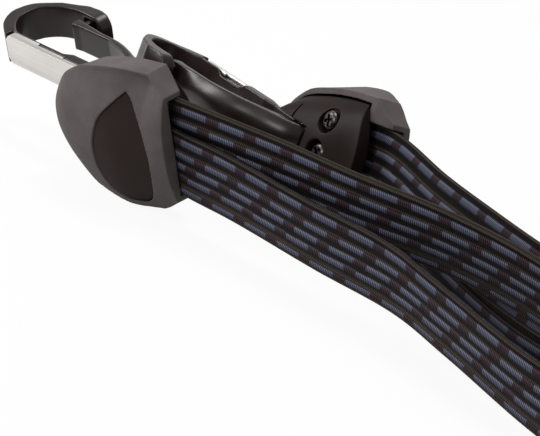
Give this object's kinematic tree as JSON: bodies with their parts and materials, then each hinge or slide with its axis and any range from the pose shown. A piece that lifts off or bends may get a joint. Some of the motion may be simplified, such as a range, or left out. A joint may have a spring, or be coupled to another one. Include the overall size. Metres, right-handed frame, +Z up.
{
  "type": "bungee cord",
  "caption": "Flat woven elastic bungee cord with moulded end fittings and sprung, gated snap hooks; lies doubled with both ends side by side.",
  "frame": {"origin": "on the floor, in the middle below the two end fittings", "axes": "+Z up; +X from the hooks out along the straps; +Y from the front fitting to the rear one"},
  "size_m": [0.3262, 0.0824, 0.0422],
  "materials": {
    "shell": "matt moulded nylon with a fine grain",
    "panel": "smoother dark inset panel",
    "cover": "satin moulded nylon",
    "screw": "black cross-recess screw",
    "nylon": "satin black nylon",
    "steel": "bright folded steel strip",
    "pin": "plain steel pin",
    "spring": "spring steel wire",
    "strap": "flat woven elastic with dashed slate-blue rows"
  },
  "bodies": {
    "bungee": {"front_shell_a": "shell", "inset_panel_a": "panel", "back_cover_a": "cover", "steel_channel_a": "steel", "hook_body_a": "nylon", "gate_pin_a": "pin", "gate_spring_a": "spring", "cover_screw_a1": "screw", "cover_screw_a2": "screw", "cover_screw_a3": "screw", "front_shell_b": "shell", "inset_panel_b": "panel", "back_cover_b": "cover", "steel_channel_b": "steel", "hook_body_b": "nylon", "gate_pin_b": "pin", "gate_spring_b": "spring", "cover_screw_b1": "screw", "cover_screw_b2": "screw", "cover_screw_b3": "screw", "strap_upper": "strap", "strap_lower": "strap"},
    "gate_a": {"gate_lever_a": "nylon"},
    "gate_b": {"gate_lever_b": "nylon"}
  },
  "joints": [
    {"name": "gate_a_hinge", "type": "hinge", "parent": "bungee", "child": "gate_a", "pos_m": [0.00258, -0.01606, 0.02418], "axis": [0, -0.3843, 0.9232], "range_deg": [0, 14], "stiffness_Nm_per_rad": 0.15, "springref_deg": -20.05},
    {"name": "gate_b_hinge", "type": "hinge", "parent": "bungee", "child": "gate_b", "pos_m": [0.03516, 0.01724, 0.02304], "axis": [-0.0679, -0.161, -0.9846], "range_deg": [0, 14], "stiffness_Nm_per_rad": 0.15, "springref_deg": -20.05}
  ]
}
